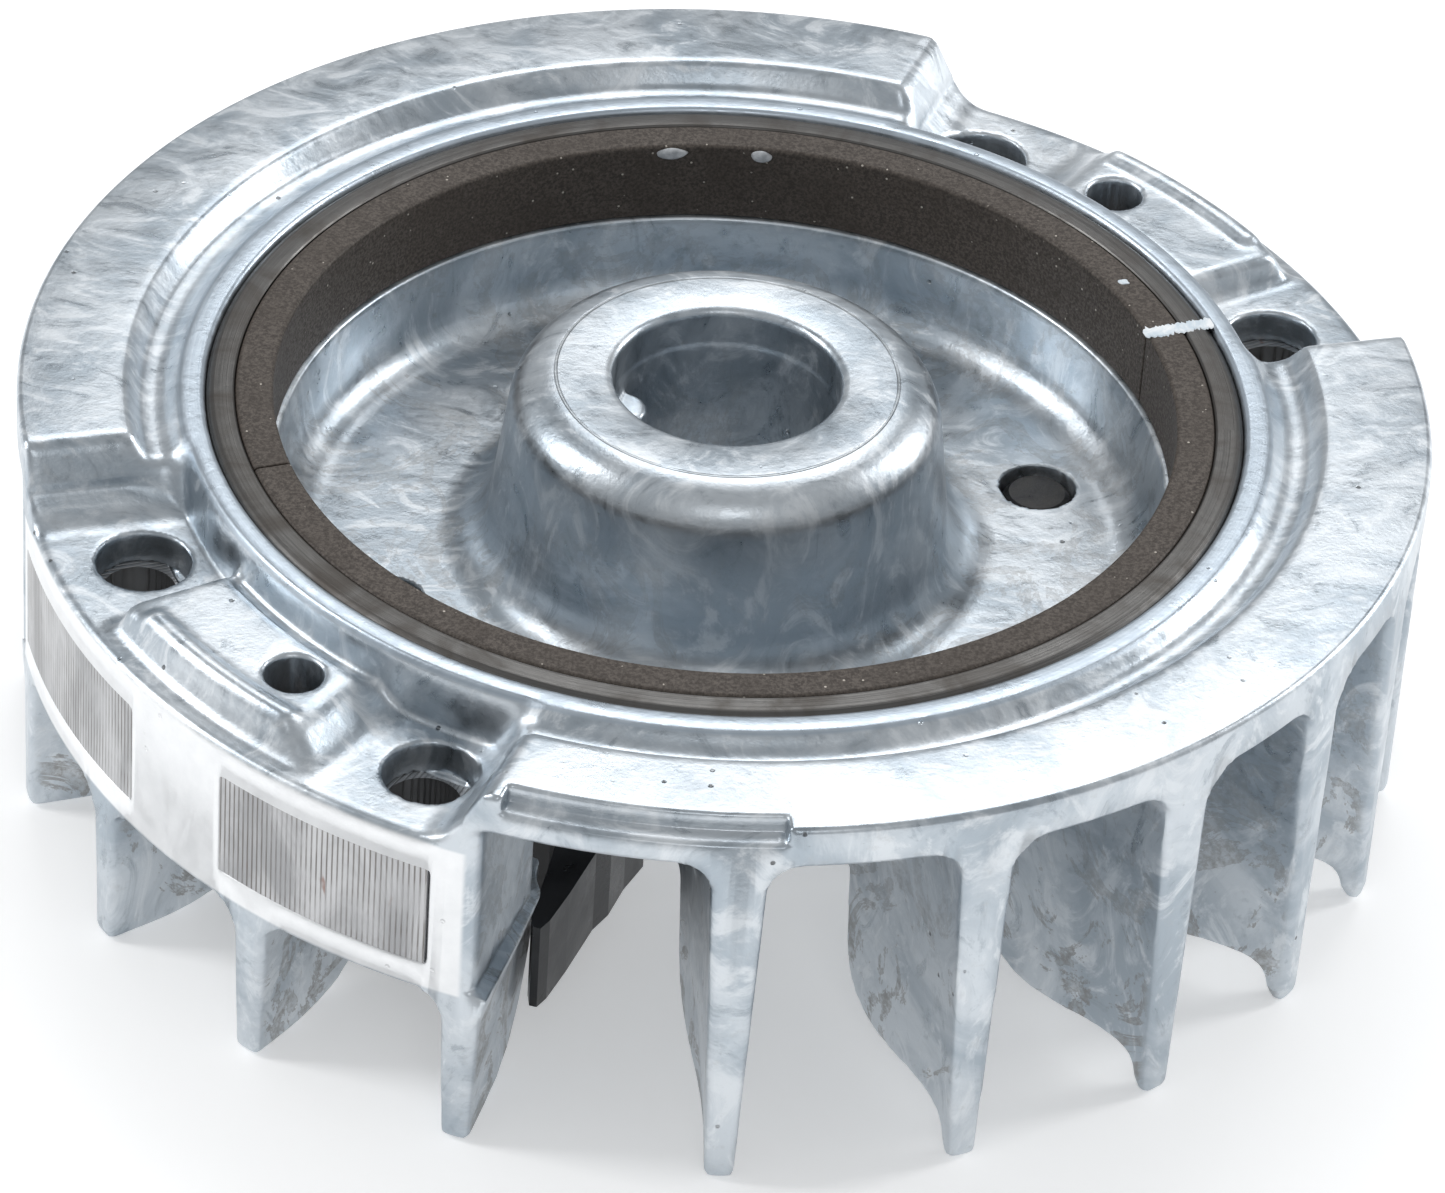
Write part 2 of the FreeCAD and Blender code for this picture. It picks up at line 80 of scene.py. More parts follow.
RIM = high("casting_body")[0]
TIP_Z = low("fan_blade_01")[2]
ROOT_Z = high("fan_blade_01")[2]
HUB_TOP_Z = high("casting_body")[2]
NUT_SEAT_Z = mount("nut_seat")["pos_m"][2] / MM
SEAT_Z = low("flux_ring")[2]
FLOOR_Z = high("pawl_screw_a")[2] + 0.45
MAGNET_TOP_Z = high("flux_ring")[2]
RING_OUTER = high("flux_ring")[0]
POLE_LOW_Z = low("ignition_magnet")[2]
POLE_TOP_Z = high("ignition_magnet")[2]
PAD_LOW_Z = high("fan_blade_03")[2]
BORE = mount("crank_bore")["dims"]["r_mm"]
BORE_ENTRY = mount("crank_bore")["dims"]["length_mm"]

FLANGE_TOP_Z = 0.6
SEAT = RING_OUTER + 0.03
LIP = SEAT + 1.9
PAD_TOP_Z = -4.5
FLOOR_THICKNESS = 2.3
SHOULDER_Z = -9.0
BOSS_Z = high("pawl_washer_a")[2]
WALL = LIP + 1.9
TROUGH = WALL - 0.1
PLATE = TROUGH + 2.3
BLOCK_TOP_Z = -2.3
PAD_DEGS = (194.0, 253.5)
CLEAR_DEGS = (196.6, 251.4)
BLOCK_DEGS = (212.2, 237.8)
BLOCK_OUTER = 48.5
PIN_HOLE_DEGS = (204.7, 245.5)
POLE_DEGS = ((196.5, 219.0), (229.8, 249.3))
REBATE_DEGS = (255.0, 277.0)
REBATE_WIDTH = 1.6
REBATE_DEPTH = 1.3
BLADE_INNER = 34.2
BLADE_DEGS = (178.0, 196.0, 214.5, 233.0, 252.3, 273.5, 293.0, 311.2, 328.0, 343.3)
HALF_TURN = 180.0
PIVOTS = [[value / MM for value in joint["pos_m"]] for joint in frame["joints"]]

# ---------------------------------------------------------------- the casting as a distance field


def smooth_min(a, b, blend):
    """Union of two fields with a fillet of about that size."""
    near = np.maximum(blend - np.abs(a - b), 0.0) / blend
    return np.minimum(a, b) - near * near * blend * 0.25


def smooth_max(a, b, blend):
    """Intersection of two fields with a rounded edge of about that size."""
    return -smooth_min(-a, -b, blend)


def rounding(centre, radius, start_deg, end_deg, count=9):
    """Points along a round stretch of an outline."""
    turns = np.radians(np.linspace(start_deg, end_deg, count))
    return [(centre[0] + radius * math.cos(t), centre[1] + radius * math.sin(t)) for t in turns]


def outline_distance(corners, across, up):
    """Signed distance to a closed outline, negative inside."""
    best = np.full(across.shape, 1e9)
    inside = np.zeros(across.shape, bool)
    last = corners[-1]
    for corner in corners:
        ex, ey = last[0] - corner[0], last[1] - corner[1]
        wx, wy = across - corner[0], up - corner[1]
        share = np.clip((wx * ex + wy * ey) / max(ex * ex + ey * ey, 1e-12), 0.0, 1.0)
        best = np.minimum(best, (wx - ex * share) ** 2 + (wy - ey * share) ** 2)
        crosses = (corner[1] > up) != (last[1] > up)
        slope = ex * (up - corner[1]) / (ey if abs(ey) > 1e-12 else 1e-12) + corner[0]
        inside ^= crosses & (across < slope)
        last = corner
    return np.where(inside, -1.0, 1.0) * np.sqrt(best)


def disc_outline():
    """Half section of hub, bowl, ring wall and flange."""
    crown, hub, hub_base, fillet = 3.4, 15.4, 16.4, 3.9
    bowl, bowl_low, bowl_fillet = 31.6, 31.25, 3.0
    bowl_outer, bowl_round = 34.2, 3.8
    under = FLOOR_Z - FLOOR_THICKNESS
    boss, small_bore = 13.0, 6.9
    points = [(BORE, HUB_TOP_Z - BORE_ENTRY), (BORE, HUB_TOP_Z - 0.35), (BORE + 0.35, HUB_TOP_Z)]
    points += rounding((hub - crown, HUB_TOP_Z - crown), crown, 90, 4, 12)
    points += rounding((hub_base + fillet, FLOOR_Z + fillet), fillet, 186, 270, 12)
    points += rounding((bowl_low - bowl_fillet, FLOOR_Z + bowl_fillet), bowl_fillet, -90, -3, 10)
    points += [(bowl, SEAT_Z - 0.2), (bowl + 0.2, SEAT_Z)]
    points += [(SEAT, SEAT_Z), (SEAT, -0.25), (SEAT + 0.25, 0.0), (LIP - 0.2, 0.0)]
    points += rounding((TROUGH, 0.45), 1.7, 215, 305, 8)
    points += [(PLATE - 0.5, FLANGE_TOP_Z - 0.15), (PLATE, FLANGE_TOP_Z)]
    points += [(RIM - 0.25, FLANGE_TOP_Z), (RIM, FLANGE_TOP_Z - 0.25)]
    points += [(RIM, ROOT_Z + 0.2), (RIM - 0.2, ROOT_Z)]
    points += rounding((WALL + 2.5, ROOT_Z - 2.5), 2.5, 90, 180, 8)
    points += [(WALL, SHOULDER_Z + 0.6), (WALL - 0.6, SHOULDER_Z)]
    points += rounding((bowl_outer + 1.0, SHOULDER_Z - 1.0), 1.0, 90, 180, 5)
    points += rounding((bowl_outer - bowl_round, under + bowl_round), bowl_round, 0, -90, 9)
    points += rounding((boss + 4.0, under - 2.5), 2.5, 90, 180, 8)
    points += [(boss, NUT_SEAT_Z + 0.4), (boss - 0.4, NUT_SEAT_Z)]
    points += [(small_bore + 0.4, NUT_SEAT_Z), (small_bore, NUT_SEAT_Z + 0.4)]
    points += [(BORE - 0.15, HUB_TOP_Z - BORE_ENTRY)]
    return points


class Field:
    """Signed distance on a grid of turn, radius and height, in millimetres."""

    def __init__(self, step):
        self.step = step
        self.turns = int(round(2.0 * math.pi * RIM / step))
        self.deg = 360.0 * np.arange(self.turns) / self.turns
        self.r = np.arange(5.0, RIM + 2.0 * step, step)
        self.z = np.arange(TIP_Z - 2.0 * step, HUB_TOP_Z + 3.0 * step, step)
        self.R, self.Z = np.meshgrid(self.r, self.z, indexing="ij")
        flat = outline_distance(disc_outline(), self.R, self.Z)
        self.value = np.repeat(flat[None].astype(np.float32), self.turns, axis=0)

    def window(self, start_deg, end_deg):
        """Grid rows between two directions, with their directions as a column."""
        first = int(math.floor(start_deg / 360.0 * self.turns))
        last = int(math.ceil(end_deg / 360.0 * self.turns))
        rows = np.arange(first, last + 1)
        return rows % self.turns, (rows * 360.0 / self.turns)[:, None, None]

    def between(self, deg, start_deg, end_deg):
        """Distance along the arc outside a range of directions."""
        outside = np.maximum(start_deg - deg, deg - end_deg)
        return np.radians(outside) * self.R[None]

    def from_upright(self, deg, radius, at_deg):
        """Plan distance from an upright line."""
        turn = np.radians(deg - at_deg)
        across = self.R[None] * np.sin(turn)
        along = self.R[None] * np.cos(turn) - radius
        return np.sqrt(across * across + along * along)

    def section(self, corners):
        return outline_distance(corners, self.R, self.Z)[None]


def add_pad(field, turn):
    """One pad with its raised block, hollows, holes and pole windows."""
    rows, deg = field.window(PAD_DEGS[0] - 4 + turn, PAD_DEGS[1] + 4 + turn)
    deg = deg - turn
    f = field.value[rows]
    R, Z = field.R[None], field.Z[None]
    top = 3.0
    inside_pad = field.between(deg, *PAD_DEGS)
    slab = field.section([(LIP - 1, PAD_LOW_Z), (RIM, PAD_LOW_Z), (RIM, ROOT_Z), (LIP - 1, ROOT_Z)])
    f = smooth_min(f, smooth_max(inside_pad, slab, 1.4), 0.9)
    over = field.section([(LIP, top), (LIP, -0.3), (LIP + 0.25, PAD_TOP_Z), (60, PAD_TOP_Z), (60, top)])
    clear = smooth_max(field.between(deg, *CLEAR_DEGS) - 0.55 * (Z - PAD_TOP_Z) + 1.0, over, 1.9)
    f = smooth_max(f, -clear, 0.9)
    middle = (BLOCK_DEGS[0] + BLOCK_DEGS[1]) / 2.0
    half = (BLOCK_DEGS[1] - BLOCK_DEGS[0]) / 2.0
    slope = np.where(deg > middle, 1.25, 0.35)
    ends = np.radians(np.abs(deg - middle) - half) * R + slope * (Z - PAD_TOP_Z)
    ends = ends / np.sqrt(1.0 + slope * slope)
    back = (R - BLOCK_OUTER + 0.5 * (Z - PAD_TOP_Z)) / 1.12
    block = smooth_max(smooth_max(ends, back, 1.0), smooth_max(Z - BLOCK_TOP_Z, LIP - R, 0.5), 0.7)
    block = np.maximum(block, PAD_TOP_Z - 1.5 - Z)
    f = smooth_min(f, block, 0.8)
    ridge_r = BLOCK_OUTER - 1.9
    ridge = np.sqrt((R - ridge_r) ** 2 + (Z - BLOCK_TOP_Z + 0.2) ** 2) - 0.75
    along = field.between(deg, BLOCK_DEGS[0] + 3.2, BLOCK_DEGS[1] - 4)
    f = smooth_min(f, smooth_max(ridge, along, 0.8), 0.7)
    gutter = smooth_max(np.abs(R - LIP - 0.75) - 0.5, PAD_TOP_Z + 1.55 - Z, 0.6)
    f = smooth_max(f, -smooth_max(gutter, field.between(deg, *BLOCK_DEGS) + 1.0, 0.8), 0.5)
    for at_deg in PIN_HOLE_DEGS:
        away = field.from_upright(deg, 43.4, at_deg)
        f = smooth_max(f, -np.maximum(away - 3.3, POLE_TOP_Z - Z), 0.25)
        f = np.maximum(f, -np.maximum(away - 2.6, PAD_LOW_Z - 2 - Z))
    sight = np.maximum(field.from_upright(deg, 42.8, 229.4) - 2.05, POLE_TOP_Z - 0.1 - Z)
    f = np.maximum(f, -sight)
    deep = field.section([(40.9, POLE_LOW_Z), (60, POLE_LOW_Z), (60, POLE_TOP_Z), (40.9, POLE_TOP_Z)])
    for limits in POLE_DEGS:
        f = np.maximum(f, -np.maximum(field.between(deg, *limits), deep))
    field.value[rows] = f


def blade_outline(on_pad):
    """Side view of a blade: outer face, rounded tip, lower edge and inner end."""
    points = [(RIM, 0.0), (RIM, TIP_Z + 0.7)]
    points += rounding((RIM - 0.7, TIP_Z + 0.7), 0.7, 0, -90, 5)
    if on_pad:
        points += [(46.0, TIP_Z + 0.05), (43.0, TIP_Z + 0.25), (40.5, TIP_Z + 0.9)]
        points += [(38.4, TIP_Z + 2.2), (36.8, TIP_Z + 3.9), (35.6, TIP_Z + 5.9), (34.7, TIP_Z + 8.4)]
        points += [(BLADE_INNER, -19.0), (BLADE_INNER, SHOULDER_Z)]
        return points + [(40.0, -4.0), (40.0, 0.0)]
    points += [(48.9, TIP_Z + 0.15), (48.45, TIP_Z + 0.8), (48.1, -27.9), (47.6, -27.3), (46.6, -26.95)]
    points += [(44.0, -27.0), (41.0, -27.4), (38.5, -27.4), (37.0, -27.0), (35.5, -26.0), (34.6, -24.4)]
    points += [(BLADE_INNER, -22.0), (BLADE_INNER, SHOULDER_Z), (40.0, -4.0), (40.0, 0.0)]
    return points


def add_blade(field, at_deg, root_z, on_pad):
    """One drafted fan blade, filleted to what it hangs from."""
    rows, deg = field.window(at_deg - 12, at_deg + 12)
    f = field.value[rows]
    R, Z = field.R[None], field.Z[None]
    inward = (RIM - R) / 20.0
    lean = -(0.6 * inward + 1.9 * inward * inward)
    across = np.abs(np.radians(deg - at_deg) * R - lean)
    half = 1.0 + 0.95 * (Z - TIP_Z) / (ROOT_Z - TIP_Z)
    side = smooth_max(across - half, field.section(blade_outline(on_pad)), 0.55)
    blade = smooth_max(side, Z - (root_z + 1.0), 0.3)
    field.value[rows] = np.where(Z < root_z + 0.5, smooth_min(f, blade, 2.6), f)


def casting_field(step):
    field = Field(step)
    for turn in (0.0, HALF_TURN):
        add_pad(field, turn)
    for at_deg in BLADE_DEGS:
        on_pad = PAD_DEGS[0] < at_deg < PAD_DEGS[1]
        for turn in (0.0, HALF_TURN):
            add_blade(field, at_deg + turn, PAD_LOW_Z if on_pad else ROOT_Z, on_pad)
    rows, deg = field.window(REBATE_DEGS[0] - 3, REBATE_DEGS[1] + 3)
    corner = np.maximum(RIM - REBATE_WIDTH - field.R, FLANGE_TOP_Z - REBATE_DEPTH - field.Z)
    step_cut = np.maximum(field.between(deg, *REBATE_DEGS), corner)
    field.value[rows] = smooth_max(field.value[rows], -step_cut, 0.3)
    for x, y, _ in PIVOTS:
        pivot_r, pivot_deg = math.hypot(x, y), math.degrees(math.atan2(y, x)) % 360.0
        rows, deg = field.window(pivot_deg - 20, pivot_deg + 20)
        away = field.from_upright(deg, pivot_r, pivot_deg)
        boss = smooth_max(away - 5.6, np.maximum(BOSS_Z - field.Z, field.Z - FLOOR_Z + 1)[None], 0.4)
        f = smooth_min(field.value[rows], boss, 1.2)
        mouth = np.maximum(away - 2.75, FLOOR_Z - 0.9 - field.Z)
        field.value[rows] = np.maximum(np.maximum(f, -mouth), -(away - 2.55))
    rows, deg = field.window(172 - 40, 172 + 40)
    ends = np.maximum(field.Z - (HUB_TOP_Z - BORE_ENTRY - 1.0), NUT_SEAT_Z + 0.1 - field.Z)
    key = smooth_max(field.from_upright(deg, 7.4, 172.0) - 1.8, ends[None], 0.5)
    field.value[rows] = smooth_min(field.value[rows], key, 0.5)
    field.value = np.maximum(field.value, (field.R - RIM)[None].astype(np.float32))
    return field


CORNERS = [(i, j, k) for i in (0, 1) for j in (0, 1) for k in (0, 1)]
CELL_EDGES = [(a, b) for a in range(8) for b in range(a + 1, 8)
              if sum(abs(CORNERS[a][n] - CORNERS[b][n]) for n in range(3)) == 1]


def surface_of(field, name):
    """Mesh of the field's zero surface, one vertex in each cell that the surface crosses."""
    v = np.concatenate([field.value, field.value[:1]])
    solid = v < 0
    nt, nr, nz = v.shape[0] - 1, v.shape[1] - 1, v.shape[2] - 1
    count = np.zeros((nt, nr, nz), np.int8)
    for i, j, k in CORNERS:
        count += solid[i:nt + i, j:nr + j, k:nz + k]
    active = np.argwhere((count > 0) & (count < 8))
    number = np.full((nt, nr, nz), -1, np.int32)
    number[active[:, 0], active[:, 1], active[:, 2]] = np.arange(len(active))
    values = [v[active[:, 0] + i, active[:, 1] + j, active[:, 2] + k] for i, j, k in CORNERS]
    total = np.zeros((len(active), 3))
    hits = np.zeros(len(active))
    for a, b in CELL_EDGES:
        cross = (values[a] < 0) != (values[b] < 0)
        share = np.where(cross, values[a] / np.where(cross, values[a] - values[b], 1.0), 0.0)
        for n in range(3):
            total[:, n] += np.where(cross, CORNERS[a][n] + share * (CORNERS[b][n] - CORNERS[a][n]), 0.0)
        hits += cross
    place = active + total / hits[:, None]
    turn = place[:, 0] * (2.0 * math.pi / nt)
    radius = field.r[0] + place[:, 1] * field.step
    height = field.z[0] + place[:, 2] * field.step
    points = np.stack([radius * np.cos(turn), radius * np.sin(turn), height], 1)
    quads = []
    for axis in range(3):
        ahead = [slice(None)] * 3
        ahead[axis] = slice(1, None)
        behind = [slice(None)] * 3
        behind[axis] = slice(None, -1)
        change = solid[tuple(ahead)] != solid[tuple(behind)]
        at = np.argwhere(change)
        at = at[at[:, 0] < nt]
        out = ~solid[tuple((at + np.eye(3, dtype=int)[axis]).T)]
        first, second = [n for n in range(3) if n != axis]
        ring = []
        for da, db in ((0, 0), (-1, 0), (-1, -1), (0, -1)):
            cell = at.copy()
            cell[:, first] += da
            cell[:, second] += db
            cell[:, 0] %= nt
            ring.append(number[tuple(cell.T)])
        quad = np.stack(ring, 1)
        flip = out if axis == 1 else ~out
        quad[flip] = quad[flip][:, ::-1]
        quads.append(quad)
    return mesh_of(name, points * MM, np.concatenate(quads))


def linked(name, data):
    """New object in the scene."""
    obj = bpy.data.objects.new(name, data)
    bpy.context.scene.collection.objects.link(obj)
    return obj


def mesh_of(name, points, quads):
    """Smooth-shaded object from arrays of points and quads."""
    mesh = bpy.data.meshes.new(name)
    mesh.vertices.add(len(points))
    mesh.vertices.foreach_set("co", points.astype(np.float32).ravel())
    mesh.loops.add(quads.size)
    mesh.loops.foreach_set("vertex_index", quads.astype(np.int32).ravel())
    mesh.polygons.add(len(quads))
    mesh.polygons.foreach_set("loop_start", np.arange(0, quads.size, 4, dtype=np.int32))
    mesh.polygons.foreach_set("use_smooth", np.ones(len(quads), bool))
    mesh.update(calc_edges=True)
    mesh.validate()
    return linked(name, mesh)


# ---------------------------------------------------------------- materials


class Nodes:
    """Short way to write a material's nodes."""

    def __init__(self, name):
        self.material = bpy.data.materials.new(name)
        self.material.use_nodes = True
        self.tree = self.material.node_tree
        self.shader = self.tree.nodes["Principled BSDF"]
        self.place = self.tree.nodes.new("ShaderNodeTexCoord").outputs["Object"]

    def feed(self, socket, value):
        """Link a socket to another one, or set it to a fixed value."""
        if isinstance(value, bpy.types.NodeSocket):
            self.tree.links.new(value, socket)
        elif isinstance(value, (tuple, list)) and len(value) == 3 and socket.type == "RGBA":
            socket.default_value = (*value, 1.0)
        else:
            socket.default_value = value

    def sum(self, operation, a, b=0.0):
        """Result of one arithmetic step."""
        made = self.tree.nodes.new("ShaderNodeMath")
        made.operation = operation
        for socket, value in zip(made.inputs, (a, b)):
            self.feed(socket, value)
        return made.outputs[0]

    def noise(self, scale, detail=4.0, rough=0.55, warp=0.0, at=None, stretch=None):
        """Cloudy pattern; the scale is in waves per metre."""
        place = at or self.place
        if stretch:
            made = self.tree.nodes.new("ShaderNodeMapping")
            self.feed(made.inputs["Vector"], place)
            made.inputs["Scale"].default_value = stretch
            place = made.outputs[0]
        made = self.tree.nodes.new("ShaderNodeTexNoise")
        for key, value in (("Vector", place), ("Scale", scale), ("Detail", detail), ("Roughness", rough),
                           ("Distortion", warp)):
            self.feed(made.inputs[key], value)
        return made.outputs["Fac"]

    def cells(self, scale):
        """Distance from scattered points."""
        made = self.tree.nodes.new("ShaderNodeTexVoronoi")
        self.feed(made.inputs["Vector"], self.place)
        made.inputs["Scale"].default_value = scale
        return made.outputs["Distance"]

    def ramp(self, value, start, end):
        """Smooth step of a value between two pairs of place and level."""
        made = self.tree.nodes.new("ShaderNodeMapRange")
        made.interpolation_type = "SMOOTHSTEP"
        settings = (value, start[0], end[0], start[1], end[1])
        for socket, setting in zip(made.inputs, settings):
            self.feed(socket, setting)
        return made.outputs[0]

    def mix(self, share, a, b):
        """Colour that goes from the first to the second with the share."""
        made = self.tree.nodes.new("ShaderNodeMix")
        made.data_type = "RGBA"
        for name, value in (("Factor_Float", share), ("A_Color", a), ("B_Color", b)):
            socket = next(item for item in made.inputs if item.identifier == name)
            self.feed(socket, value)
        return next(item for item in made.outputs if item.identifier == "Result_Color")

    def bump(self, height, depth, below=None):
        """Bump of a 0..1 height, with its depth in millimetres."""
        made = self.tree.nodes.new("ShaderNodeBump")
        made.inputs["Strength"].default_value = 1.0
        made.inputs["Distance"].default_value = depth * MM
        self.feed(made.inputs["Height"], height)
        if below is not None:
            self.feed(made.inputs["Normal"], below)
        return made.outputs["Normal"]

    def cylinder(self):
        """Radius, direction in degrees and height, in millimetres."""
        split = self.tree.nodes.new("ShaderNodeSeparateXYZ")
        self.feed(split.inputs[0], self.place)
        x, y, z = split.outputs
        radius = self.sum("SQRT", self.sum("ADD", self.sum("MULTIPLY", x, x), self.sum("MULTIPLY", y, y)))
        turn = self.sum("MULTIPLY", self.sum("ARCTAN2", y, x), 180.0 / math.pi)
        turn = self.sum("FLOORED_MODULO", turn, 360.0)
        return self.sum("DIVIDE", radius, MM), turn, self.sum("DIVIDE", z, MM)

    def band(self, value, low_edge, high_edge, soft):
        """1 between two edges, 0 outside."""
        up = self.ramp(value, (low_edge - soft, 0.0), (low_edge + soft, 1.0))
        down = self.ramp(value, (high_edge - soft, 1.0), (high_edge + soft, 0.0))
        return self.sum("MULTIPLY", up, down)

    def product(self, *factors):
        """Product of several values."""
        result = factors[0]
        for factor in factors[1:]:
            result = self.sum("MULTIPLY", result, factor)
        return result

    def finish(self, colour, rough, normal=None, metal=1.0, **fixed):
        """Feed the shader and give back the material."""
        self.feed(self.shader.inputs["Base Color"], colour)
        self.feed(self.shader.inputs["Roughness"], rough)
        self.feed(self.shader.inputs["Metallic"], metal)
        if normal is not None:
            self.feed(self.shader.inputs["Normal"], normal)
        for key, value in fixed.items():
            self.shader.inputs[key.replace("_", " ")].default_value = value
        return self.material


def cast_aluminium():
    m = Nodes("cast_aluminium")
    radius, turn, height = m.cylinder()
    cloud = m.noise(70.0, 7.0, 0.62, 1.2)
    flow = m.noise(150.0, 6.0, 0.66, 2.4, stretch=(1.0, 1.5, 0.8))
    fine = m.noise(1100.0, 4.0, 0.65)
    grit = m.noise(3600.0, 2.0, 0.5)
    colour = m.mix(m.ramp(cloud, (0.38, 0.0), (0.62, 1.0)), (0.40, 0.455, 0.505), (0.60, 0.645, 0.685))
    colour = m.mix(m.ramp(flow, (0.50, 0.0), (0.66, 0.75)), colour, (0.74, 0.775, 0.805))
    colour = m.mix(m.ramp(flow, (0.34, 0.6), (0.45, 0.0)), colour, (0.31, 0.355, 0.395))
    colour = m.mix(m.ramp(fine, (0.55, 0.0), (0.75, 0.35)), colour, (0.46, 0.48, 0.49))
    # Dark blotches with darker edges, only inside the rim and below the flange, growing denser towards the bottom;
    # they also make the surface rougher
    inside = m.ramp(radius, (RIM - 1.2, 1.0), (RIM - 0.3, 0.0))
    below = m.ramp(height, (-26.0, 1.0), (-5.0, 0.25))
    edge = m.noise(110.0, 8.0, 0.7, 1.8)
    blotch = m.ramp(edge, (0.53, 0.0), (0.57, 1.0))
    rim = m.band(edge, 0.535, 0.556, 0.008)
    grainy = m.ramp(m.noise(1500.0, 3.0, 0.7), (0.35, 0.25), (0.65, 1.0))
    under = m.sum("MULTIPLY", m.sum("MULTIPLY", inside, below), m.ramp(height, (-5.0, 1.0), (-3.0, 0.0)))
    low_dark_patches = m.sum("MULTIPLY", m.sum("MULTIPLY", blotch, grainy), under)
    colour = m.mix(m.sum("MULTIPLY", low_dark_patches, 0.8), colour, (0.31, 0.30, 0.285))
    colour = m.mix(m.sum("MULTIPLY", m.sum("MULTIPLY", rim, under), 0.6), colour, (0.26, 0.25, 0.24))
    mark = m.ramp(m.noise(230.0, 8.0, 0.75, 2.6), (0.66, 0.0), (0.70, 1.0))
    mark = m.sum("MULTIPLY", mark, m.ramp(m.noise(48.0, 2.0), (0.50, 0.0), (0.58, 1.0)))
    colour = m.mix(m.sum("MULTIPLY", mark, 0.65), colour, (0.27, 0.275, 0.27))
    pits = m.ramp(m.cells(520.0), (0.05, 1.0), (0.11, 0.0))
    pits = m.sum("MULTIPLY", pits, m.ramp(m.noise(75.0, 2.0), (0.56, 0.0), (0.63, 1.0)))
    colour = m.mix(m.sum("MULTIPLY", pits, 0.8), colour, (0.08, 0.08, 0.08))
    rough = m.ramp(flow, (0.32, 0.27), (0.68, 0.44))
    rough = m.sum("ADD", rough, m.sum("MULTIPLY", low_dark_patches, 0.2))
    lip = m.sum("MULTIPLY", m.band(radius, SEAT, LIP + 0.1, 0.1), m.band(height, -0.5, 0.4, 0.1))
    rings = m.noise(1.0, 2.0, 0.5, at=turned_grain(m, radius, turn, 0.0, 6.0, 0.02))
    colour = m.mix(lip, colour, m.mix(rings, (0.36, 0.43, 0.50), (0.60, 0.66, 0.72)))
    # Painted shade of a fine groove on the hub top that the mesh does not have: a dark patchy ring, also given a
    # bump below
    line = m.band(radius, 12.05, 12.25, 0.05)
    line = m.product(line, m.ramp(height, (HUB_TOP_Z - 0.3, 0.0), (HUB_TOP_Z - 0.1, 1.0)),
                     m.ramp(m.noise(180.0, 3.0), (0.3, 0.3), (0.55, 1.0)))
    colour = m.mix(m.sum("MULTIPLY", line, 0.6), colour, (0.30, 0.32, 0.33))
    face = machined_face(m, radius, turn, height)
    colour = m.mix(face, colour, m.mix(m.noise(700.0, 4.0), (0.80, 0.815, 0.83), (0.93, 0.94, 0.95)))
    rough = m.sum("ADD", rough, m.sum("MULTIPLY", face, 0.10))
    normal = m.bump(grit, 0.008)
    normal = m.bump(fine, 0.028, normal)
    normal = m.bump(m.noise(260.0, 3.0), 0.012, normal)
    normal = m.bump(m.sum("SUBTRACT", 1.0, pits), 0.10, normal)
    normal = m.bump(m.sum("SUBTRACT", 1.0, line), 0.06, normal)
    return m.finish(colour, rough, normal, 0.94)


def turned_grain(m, radius, turn, height, per_mm, per_degree):
    """Place on a turned face, drawn out round the axis."""
    made = m.tree.nodes.new("ShaderNodeCombineXYZ")
    place = (m.sum("MULTIPLY", radius, per_mm), m.sum("MULTIPLY", turn, per_degree), height)
    for socket, value in zip(made.inputs, place):
        m.feed(socket, value)
    return made.outputs[0]


def machined_face(m, radius, turn, height):
    """Mask of the turned outer faces of the two pads."""
    half = m.sum("FLOORED_MODULO", turn, HALF_TURN)
    on = m.band(half, PAD_DEGS[0] - HALF_TURN + 1.2, PAD_DEGS[1] - HALF_TURN - 1.2, 0.25)
    on = m.sum("MULTIPLY", on, m.band(height, PAD_LOW_Z + 0.2, PAD_TOP_Z - 0.35, 0.15))
    return m.sum("MULTIPLY", on, m.ramp(radius, (RIM - 0.5, 0.0), (RIM - 0.2, 1.0)))


def ferrite():
    m = Nodes("ring_ferrite")
    grain = m.noise(4200.0, 3.0, 0.7)
    patch = m.noise(210.0, 6.0, 0.62, 0.8)
    colour = m.mix(m.ramp(grain, (0.36, 0.0), (0.66, 1.0)), (0.040, 0.031, 0.025), (0.098, 0.080, 0.066))
    colour = m.mix(m.ramp(patch, (0.42, 0.0), (0.68, 0.45)), colour, (0.050, 0.038, 0.029))
    bright = m.ramp(m.cells(1500.0), (0.10, 1.0), (0.16, 0.0))
    chosen = m.ramp(m.noise(900.0, 1.0), (0.60, 0.0), (0.64, 1.0))
    bright = m.sum("MULTIPLY", bright, chosen)
    colour = m.mix(bright, colour, (0.50, 0.46, 0.40))
    rough = m.sum("SUBTRACT", m.ramp(grain, (0.3, 0.66), (0.7, 0.46)), m.sum("MULTIPLY", bright, 0.2))
    normal = m.bump(grain, 0.035)
    normal = m.bump(m.noise(500.0, 3.0), 0.03, normal)
    return m.finish(colour, rough, normal, 0.1, Specular_IOR_Level=0.5)


def ring_steel():
    m = Nodes("ring_steel")
    radius, turn, height = m.cylinder()
    rings = m.noise(1.0, 3.0, 0.6, at=turned_grain(m, radius, turn, height, 9.0, 0.012))
    cloud = m.noise(130.0, 5.0, 0.6, 1.4)
    colour = m.mix(rings, (0.050, 0.049, 0.048), (0.20, 0.196, 0.19))
    colour = m.mix(m.ramp(cloud, (0.42, 0.0), (0.72, 0.7)), colour, (0.070, 0.060, 0.052))
    normal = m.bump(rings, 0.03)
    normal = m.bump(m.noise(1200.0, 3.0), 0.02, normal)
    return m.finish(colour, m.ramp(cloud, (0.3, 0.30), (0.7, 0.48)), normal, 0.95)


